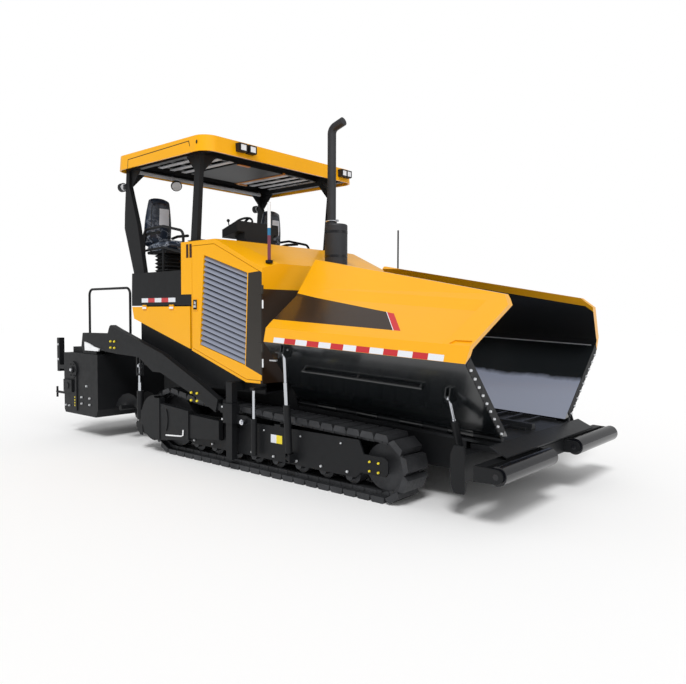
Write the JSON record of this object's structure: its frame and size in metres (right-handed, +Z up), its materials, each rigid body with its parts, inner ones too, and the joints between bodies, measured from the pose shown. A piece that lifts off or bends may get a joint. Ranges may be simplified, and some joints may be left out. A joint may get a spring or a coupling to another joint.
{
  "type": "tracked asphalt paver",
  "caption": "Tracked road paver with a folding hopper, louvred hood, canopy over the operator platform, tow arms and a rear screed.",
  "frame": {"origin": "centre of the footprint on the ground", "axes": "+X forward (hopper end), +Y left, +Z up"},
  "size_m": [7.4, 2.93, 4.1814],
  "materials": {
    "body_yellow": "semi-gloss paint",
    "frame_black": "satin black paint",
    "hopper_black": "satin black paint",
    "louvre_grey": "satin grey paint",
    "track_steel": "worn dark steel",
    "seat_black": "covered cushion",
    "chrome_rod": "polished",
    "roller_black": "satin black paint",
    "lamp_black": "black lamp housing with a clear lens",
    "floor_steel": "worn plate"
  },
  "bodies": {
    "chassis": {"chassis_frame": "frame_black", "engine_block": "frame_black", "hood_shell": "body_yellow", "platform_base": "frame_black", "seats": "seat_black", "control_console": "frame_black", "handrails": "frame_black", "canopy_roof": "body_yellow", "canopy_frame": "frame_black", "muffler": "frame_black", "exhaust_pipe": "frame_black", "hood_pole": "frame_black", "right_track": "track_steel", "left_track": "track_steel", "track_wheels": "track_steel", "track_frames": "frame_black", "track_guards": "frame_black", "hopper_floor": "floor_steel", "conveyor_chains": "floor_steel", "hopper_back": "frame_black", "front_beam": "frame_black", "apron_plate": "floor_steel", "tow_guides": "frame_black", "levelling_rods": "chrome_rod", "auger_hanger": "frame_black", "lamps": "lamp_black"},
    "tow_points": {"right_tow_point": "frame_black", "left_tow_point": "frame_black"},
    "screed": {"right_tow_arm": "frame_black", "left_tow_arm": "frame_black", "screed_box": "frame_black", "screed_walkway": "frame_black"},
    "lift_barrels": {"lift_barrels": "frame_black"},
    "lift_rods": {"lift_rods": "chrome_rod"},
    "push_beam": {"push_beam": "frame_black"},
    "right_door": {"right_door": "body_yellow", "right_grille": "louvre_grey"},
    "right_flap": {"right_flap": "body_yellow"},
    "right_wing": {"right_wing_wall": "hopper_black", "right_wing_skin": "body_yellow"},
    "right_rear_wing_barrel": {"right_rear_wing_barrel": "frame_black"},
    "right_rear_wing_rod": {"right_rear_wing_rod": "chrome_rod"},
    "right_front_wing_barrel": {"right_front_wing_barrel": "frame_black"},
    "right_front_wing_rod": {"right_front_wing_rod": "chrome_rod"},
    "right_push_roller": {"right_push_roller": "roller_black"},
    "right_auger": {"right_auger": "frame_black"},
    "left_door": {"left_door": "body_yellow", "left_grille": "louvre_grey"},
    "left_flap": {"left_flap": "body_yellow"},
    "left_wing": {"left_wing_wall": "hopper_black", "left_wing_skin": "body_yellow", "marker_rod": "frame_black"},
    "left_rear_wing_barrel": {"left_rear_wing_barrel": "frame_black"},
    "left_rear_wing_rod": {"left_rear_wing_rod": "chrome_rod"},
    "left_front_wing_barrel": {"left_front_wing_barrel": "frame_black"},
    "left_front_wing_rod": {"left_front_wing_rod": "chrome_rod"},
    "left_push_roller": {"left_push_roller": "roller_black"},
    "left_auger": {"left_auger": "frame_black"}
  },
  "joints": [
    {"name": "right_wing_hinge", "type": "hinge", "parent": "chassis", "child": "right_wing", "pos_m": [2.13762, -0.76, 0.70735], "axis": [0.9989, 0, -0.0471], "range_deg": [0, 38]},
    {"name": "right_rear_wing_barrel_pivot", "type": "hinge", "parent": "chassis", "child": "right_rear_wing_barrel", "pos_m": [1.25101, -1.302, 0.26963], "axis": [0.9989, 0, -0.0471], "range_deg": [0, 26.7]},
    {"name": "right_rear_wing_rod_slide", "type": "slide", "parent": "right_rear_wing_barrel", "child": "right_rear_wing_rod", "axis": [0.0468, -0.107, 0.9932], "range_m": [-0.44, 0]},
    {"name": "right_front_wing_barrel_pivot", "type": "hinge", "parent": "chassis", "child": "right_front_wing_barrel", "pos_m": [3.067, -0.925, 0.48132], "axis": [0.9989, 0, -0.0471], "range_deg": [0, 37.1]},
    {"name": "right_front_wing_rod_slide", "type": "slide", "parent": "right_front_wing_barrel", "child": "right_front_wing_rod", "axis": [0.0426, -0.4279, 0.9028], "range_m": [-0.161, 0]},
    {"name": "left_wing_hinge", "type": "hinge", "parent": "chassis", "child": "left_wing", "pos_m": [2.13762, 0.76, 0.70735], "axis": [-0.9989, 0, 0.0471], "range_deg": [0, 38]},
    {"name": "left_rear_wing_barrel_pivot", "type": "hinge", "parent": "chassis", "child": "left_rear_wing_barrel", "pos_m": [1.25101, 1.302, 0.26963], "axis": [-0.9989, 0, 0.0471], "range_deg": [0, 26.7]},
    {"name": "left_rear_wing_rod_slide", "type": "slide", "parent": "left_rear_wing_barrel", "child": "left_rear_wing_rod", "axis": [0.0468, 0.107, 0.9932], "range_m": [-0.44, 0]},
    {"name": "left_front_wing_barrel_pivot", "type": "hinge", "parent": "chassis", "child": "left_front_wing_barrel", "pos_m": [3.067, 0.925, 0.48132], "axis": [-0.9989, 0, 0.0471], "range_deg": [0, 37.1]},
    {"name": "left_front_wing_rod_slide", "type": "slide", "parent": "left_front_wing_barrel", "child": "left_front_wing_rod", "axis": [0.0426, 0.4279, 0.9028], "range_m": [-0.161, 0]},
    {"name": "push_beam_swivel", "type": "hinge", "parent": "chassis", "child": "push_beam", "pos_m": [3.33, 0, 0.465], "axis": [0, 0, 1], "range_deg": [-5, 5]},
    {"name": "right_push_roller_spin", "type": "hinge", "parent": "push_beam", "child": "right_push_roller", "pos_m": [3.62, -0.806, 0.465], "axis": [0, 1, 0], "continuous": true},
    {"name": "left_push_roller_spin", "type": "hinge", "parent": "push_beam", "child": "left_push_roller", "pos_m": [3.62, 0.806, 0.465], "axis": [0, 1, 0], "continuous": true},
    {"name": "tow_point_slide", "type": "slide", "parent": "chassis", "child": "tow_points", "axis": [0, 0, 1], "range_m": [-0.075, 0.075]},
    {"name": "screed_lift", "type": "hinge", "parent": "tow_points", "child": "screed", "pos_m": [0.215, 0, 0.68], "axis": [0, 1, 0], "range_deg": [-3.6, 2.5]},
    {"name": "lift_barrel_pivot", "type": "hinge", "parent": "chassis", "child": "lift_barrels", "pos_m": [-1.48, 0, 0.33], "axis": [0, 1, 0], "range_deg": [-2.1, 1.5]},
    {"name": "lift_rod_slide", "type": "slide", "parent": "lift_barrels", "child": "lift_rods", "axis": [0, 0, 1], "range_m": [-0.11, 0.077]},
    {"name": "right_door_hinge", "type": "hinge", "parent": "chassis", "child": "right_door", "pos_m": [0.8025, -1.256, 1.7], "axis": [0, 0, 1], "range_deg": [0, 85]},
    {"name": "right_flap_hinge", "type": "hinge", "parent": "chassis", "child": "right_flap", "pos_m": [-1.1, -1.2593, 1.864], "axis": [-1, 0, 0], "range_deg": [0, 80]},
    {"name": "right_auger_spin", "type": "hinge", "parent": "chassis", "child": "right_auger", "pos_m": [-2.1, -0.68, 0.47], "axis": [0, 1, 0], "continuous": true},
    {"name": "left_door_hinge", "type": "hinge", "parent": "chassis", "child": "left_door", "pos_m": [0.8025, 1.256, 1.7], "axis": [0, 0, -1], "range_deg": [0, 85]},
    {"name": "left_flap_hinge", "type": "hinge", "parent": "chassis", "child": "left_flap", "pos_m": [-1.1, 1.2593, 1.864], "axis": [1, 0, 0], "range_deg": [0, 80]},
    {"name": "left_auger_spin", "type": "hinge", "parent": "chassis", "child": "left_auger", "pos_m": [-2.1, 0.68, 0.47], "axis": [0, 1, 0], "continuous": true}
  ],
  "couplings": [
    {"joint": "right_rear_wing_barrel_pivot", "follows": "right_wing_hinge", "ratio": 0.69442},
    {"joint": "right_rear_wing_rod_slide", "follows": "right_wing_hinge", "m_per_rad": -0.6612},
    {"joint": "right_front_wing_barrel_pivot", "follows": "right_wing_hinge", "ratio": 0.96835},
    {"joint": "right_front_wing_rod_slide", "follows": "right_wing_hinge", "m_per_rad": -0.24059},
    {"joint": "left_rear_wing_barrel_pivot", "follows": "left_wing_hinge", "ratio": 0.69442},
    {"joint": "left_rear_wing_rod_slide", "follows": "left_wing_hinge", "m_per_rad": -0.6612},
    {"joint": "left_front_wing_barrel_pivot", "follows": "left_wing_hinge", "ratio": 0.96835},
    {"joint": "left_front_wing_rod_slide", "follows": "left_wing_hinge", "m_per_rad": -0.24059},
    {"joint": "lift_barrel_pivot", "follows": "screed_lift", "ratio": 0.53863},
    {"joint": "lift_rod_slide", "follows": "screed_lift", "m_per_rad": 1.6966}
  ]
}
